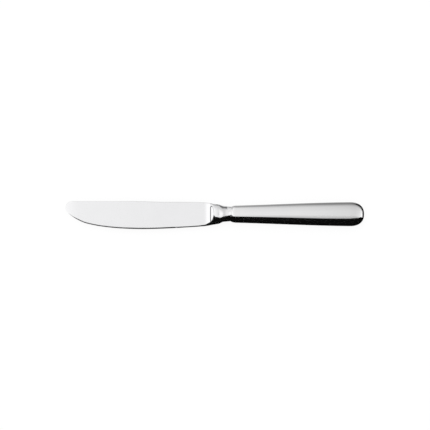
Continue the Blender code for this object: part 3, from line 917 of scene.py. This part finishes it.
def build_card(name, corners, tone, cover=((0.0, 1.0),), fade=NO_FADE):
    """A card that only metal sees: how solid it is at each height, and where it fades in along X."""
    material = bpy.data.materials.new(name)
    material.use_nodes = True
    tree = material.node_tree
    tree.nodes.clear()
    place = add_node(tree, "ShaderNodeTexCoord").outputs["Object"]
    spot = add_node(tree, "ShaderNodeSeparateXYZ", {}, {0: place})
    level = add_node(tree, "ShaderNodeMapRange", {}, {"Value": spot.outputs[2], "From Max": FLAG_TOP})
    solid = add_node(tree, "ShaderNodeValToRGB", {}, {0: level.outputs[0]})
    set_stops(solid, [(at / FLAG_TOP, amount) for at, amount in cover])
    shown = add_node(tree, "ShaderNodeMapRange", {}, {
        "Value": spot.outputs[0], "From Min": fade[0], "From Max": fade[1],
    })
    amount = add_node(tree, "ShaderNodeMath", {"operation": "MULTIPLY"}, {
        0: solid.outputs[0], 1: shown.outputs[0],
    })
    paint = add_node(tree, "ShaderNodeEmission", {}, {"Color": linear(tone), "Strength": 1.0})
    clear = add_node(tree, "ShaderNodeBsdfTransparent")
    both = add_node(tree, "ShaderNodeMixShader", {}, {
        0: amount.outputs[0], 1: clear.outputs[0], 2: paint.outputs[0],
    })
    add_node(tree, "ShaderNodeOutputMaterial", {}, {"Surface": both.outputs[0]})
    card = build_sheet(name, corners, material)
    card.visible_camera = False
    card.visible_diffuse = False
    card.visible_shadow = False
    card.visible_transmission = False


def upright(x_low, x_high, y, z_low=0.0, z_high=FLAG_TOP):
    """Corners of an upright card along X."""
    return [(x_low, y, z_low), (x_high, y, z_low), (x_high, y, z_high), (x_low, y, z_high)]


def level_board(x_low, x_high, y_low, y_high, z):
    """Corners of a sheet that lies level."""
    return [(x_low, y_low, z), (x_high, y_low, z), (x_high, y_high, z), (x_low, y_high, z)]


def flag_row(number):
    """Y of a row of flags beside the edge side; the first row is the nearest."""
    return FLAG_Y - number * FLAG_STEP


def build_flags():
    """Black flags beside the edge side, which give the handle its dark half and the bevel its line."""
    heel_fade = (-26.0 * MM, -13.0 * MM)
    handle_cover = ((FLAG_EDGE, 1.0), (FLAG_EDGE_END, 0.0))
    handle_side = upright(heel_fade[0], CARD_END_X, flag_row(0))
    build_card("handle_flag", handle_side, BLACK, handle_cover, heel_fade)

    # A soft end to the dark half, all along the grip
    soft_fade = (5.0 * MM, 45.0 * MM)
    soft_end = 150.0 * MM
    soft_cover = (
        (FLAG_EDGE, 0.0), (FLAG_EDGE_END, 0.45), (98.0 * MM, 0.26), (156.0 * MM, 0.15), (FLAG_TOP, 0.02),
    )
    soft_side = upright(soft_fade[0], soft_end, flag_row(1))
    build_card("soft_flag", soft_side, BLACK, soft_cover, soft_fade)

    # Two more, higher, for the butt
    butt_low = 63.0 * MM
    butt_fade = (64.0 * MM, 84.0 * MM)
    butt_end = 98.0 * MM
    butt_cover = ((butt_low, 0.0), (63.5 * MM, 1.0), (71.0 * MM, 1.0), (83.0 * MM, 0.0))
    butt_front = upright(butt_fade[0], butt_end, flag_row(2))
    build_card("butt_flag", butt_front, BLACK, butt_cover, butt_fade)
    side_fade = (84.0 * MM, 92.0 * MM)
    side_end = 125.0 * MM
    side_top = 88.0 * MM
    butt_side = upright(side_fade[0], side_end, flag_row(4), butt_low, side_top)
    build_card("butt_side_flag", butt_side, BLACK, fade=side_fade)

    # Low along the whole blade, and tall beside the tip
    blade_end = 10.0 * MM
    blade_top = 22.0 * MM
    blade_clear = 24.0 * MM
    blade_cover = ((8.0 * MM, 1.0), (11.0 * MM, 0.6), (blade_top, 0.6), (blade_clear, 0.0))
    build_card("blade_flag", upright(CARD_START_X, blade_end, flag_row(3)), BLACK, blade_cover)
    tip_cover = (
        (blade_top, 0.0), (blade_clear, 0.55), (FLAG_EDGE, 0.55), (FLAG_EDGE_END, 1.0),
        (200.0 * MM, 1.0), (210.0 * MM, 0.0),
    )
    tip_side = upright(CARD_START_X, BELLY_FADE[1], flag_row(1))
    build_card("tip_flag", tip_side, BLACK, tip_cover, BELLY_FADE[::-1])


def build_spine_cards():
    """Thin dark cards beside the spine side, which shade the grip and the bolster."""
    grip_cover = (
        (0.0, 0.56), (10.5 * MM, 0.51), (19.4 * MM, 0.29), (27.3 * MM, 0.13), (36.7 * MM, 0.08),
        (65.0 * MM, 0.05), (120.0 * MM, 0.0),
    )
    grip_side = upright(GRIP_FADE[0], CARD_END_X, SPINE_CARD_Y)
    build_card("spine_side_card", grip_side, BLACK, grip_cover, GRIP_FADE)
    bolster_fade = (-4.0 * MM, 4.0 * MM)
    bolster_end = 4.5 * MM
    bolster_cover = (
        (30.0 * MM, 0.22), (50.0 * MM, 0.17), (62.0 * MM, 0.14), (80.0 * MM, 0.08), (110.0 * MM, 0.0),
    )
    bolster_side = upright(bolster_fade[0], bolster_end, SPINE_CARD_Y)
    build_card("bolster_card", bolster_side, BLACK, bolster_cover, bolster_fade)


def build_boards():
    """Boards above the floor: black on the edge side and past the butt, greys on the spine side."""
    edge_side = level_board(BOARD_START_X, BOARD_END_X, FLAG_Y, AXIS_Y, BOARD_LIFT)
    build_card("edge_side_board", edge_side, BLACK)
    spine_side = level_board(BOARD_START_X, BOARD_END_X, AXIS_Y, BOARD_END_Y, BOARD_LIFT)
    build_card("spine_side_board", spine_side, "#B0B0B0")

    # Other tones on the spine side's board
    tip_fade = (-35.0 * MM, -60.0 * MM)
    bolster_fade = (-20.0 * MM, -8.0 * MM)
    collar = 1.4 * MM
    neck = 5.5 * MM
    mouth = 9.0 * MM
    stretches = (
        ("bolster_board", bolster_fade[0], collar, BOARD_END_Y, "#F2F2F2", bolster_fade),
        ("collar_board", collar, neck, BOARD_END_Y, "#909090", NO_FADE),
        ("neck_board", neck, mouth, BOARD_END_Y, "#E0E0E0", NO_FADE),
        ("tip_board", BOARD_START_X, tip_fade[0], BOARD_END_Y, "#F4F4F4", tip_fade),
        ("rear_spine_board", GRIP_FADE[0], BOARD_END_X, SPINE_CARD_Y, "#959595", GRIP_FADE),
    )
    for name, start, end, end_y, tone, fade in stretches:
        stretch = level_board(start, end, AXIS_Y, end_y, 2 * BOARD_LIFT)
        build_card(name, stretch, tone, fade=fade)
    past_butt = level_board(BOARD_END_X, 2 * BOARD_END_X, FLAG_Y, BOARD_END_Y, BOARD_LIFT)
    build_card("butt_board", past_butt, BLACK)


def build_root_cards():
    """Small black cards for the foot of the shoulder, the handle's lip and the collar."""
    lip_fade = (-30.0 * MM, -12.0 * MM)
    lip_end = -3.0 * MM
    lip_y = -14.0 * MM
    lip_side = upright(lip_fade[0], lip_end, lip_y, 6.0 * MM, 33.0 * MM)
    build_card("lip_card", lip_side, BLACK, fade=lip_fade)
    horn_end = -10.0 * MM
    horn_top = 112.0 * MM
    horn_side = upright(BELLY_FADE[0], horn_end, flag_row(4), FLAG_EDGE, horn_top)
    build_card("horn_flag", horn_side, BLACK, fade=BELLY_FADE)
    foot_end = 6.0 * MM
    foot_top = 77.0 * MM
    foot_side = upright(horn_end, foot_end, flag_row(4), FLAG_EDGE, foot_top)
    build_card("lip_flag", foot_side, BLACK)
    collar_cover = ((0.0, 0.8), (8.0 * MM, 0.7), (11.0 * MM, 0.3), (15.0 * MM, 0.0))
    front = (7.4 * MM, 10.5 * MM)
    rear = (5.2 * MM, 17.5 * MM)
    corners = [(*front, 0), (*rear, 0), (*rear, FLAG_TOP), (*front, FLAG_TOP)]
    build_card("collar_card", corners, BLACK, collar_cover)


def build_lamp():
    lamp = bpy.data.lights.new("softbox", "AREA")
    lamp.shape = "SQUARE"
    lamp.size = LAMP_SIZE
    lamp.energy = LAMP_POWER
    softbox = bpy.data.objects.new("softbox", lamp)
    softbox.location = LAMP_PLACE
    softbox.rotation_euler = LAMP_TILT
    softbox.visible_glossy = False
    softbox.visible_camera = False
    bpy.context.scene.collection.objects.link(softbox)


def build_camera():
    camera = bpy.data.cameras.new("camera")
    camera.sensor_width = SENSOR
    camera.lens = SENSOR * CAMERA_HEIGHT / PICTURE_WIDTH
    camera.clip_start = CLIP_NEAR
    camera.clip_end = CLIP_FAR
    stand = bpy.data.objects.new("camera", camera)
    stand.location = (CAMERA_X, CAMERA_Y, CAMERA_HEIGHT + AXIS_Z)
    bpy.context.scene.collection.objects.link(stand)
    bpy.context.scene.camera = stand


def main():
    blade_steel = polished_steel("hardened_stainless_mirror_polished", "#ECECED", grain_axis=1)
    shell_steel = polished_steel("drawn_stainless_mirror_polished", "#ECECEC", grain_axis=0)
    braze = plain_fill(
        "silver_braze_as_flowed", "#B9A67C", "#D8CBA4", grain=0.4 * MM, roughness=0.4, metallic=1.0,
    )
    cement = plain_fill(
        "filled_resin_cement_cast", "#6B665E", "#8A857B", grain=0.3 * MM, roughness=0.85, metallic=0.0,
    )

    forging = build_forging(blade_steel)
    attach(forging, "root")
    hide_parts("blade")
    tree = shell_tree()
    for name, side in (("handle_shell_front", 1), ("handle_shell_back", -1)):
        shell = build_shell(name.replace("shell", "half"), side, tree, shell_steel)
        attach(shell, "root")
        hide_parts(name)
    for name, material in (("seam_braze", braze), ("mouth_braze", braze), ("tang_cement", cement)):
        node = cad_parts[name]
        node.data.materials.clear()
        node.data.materials.append(material)

    bpy.context.scene.view_settings.view_transform = "Standard"
    build_world()
    build_floor()
    build_flags()
    build_spine_cards()
    build_boards()
    build_root_cards()
    build_lamp()
    build_camera()


main()
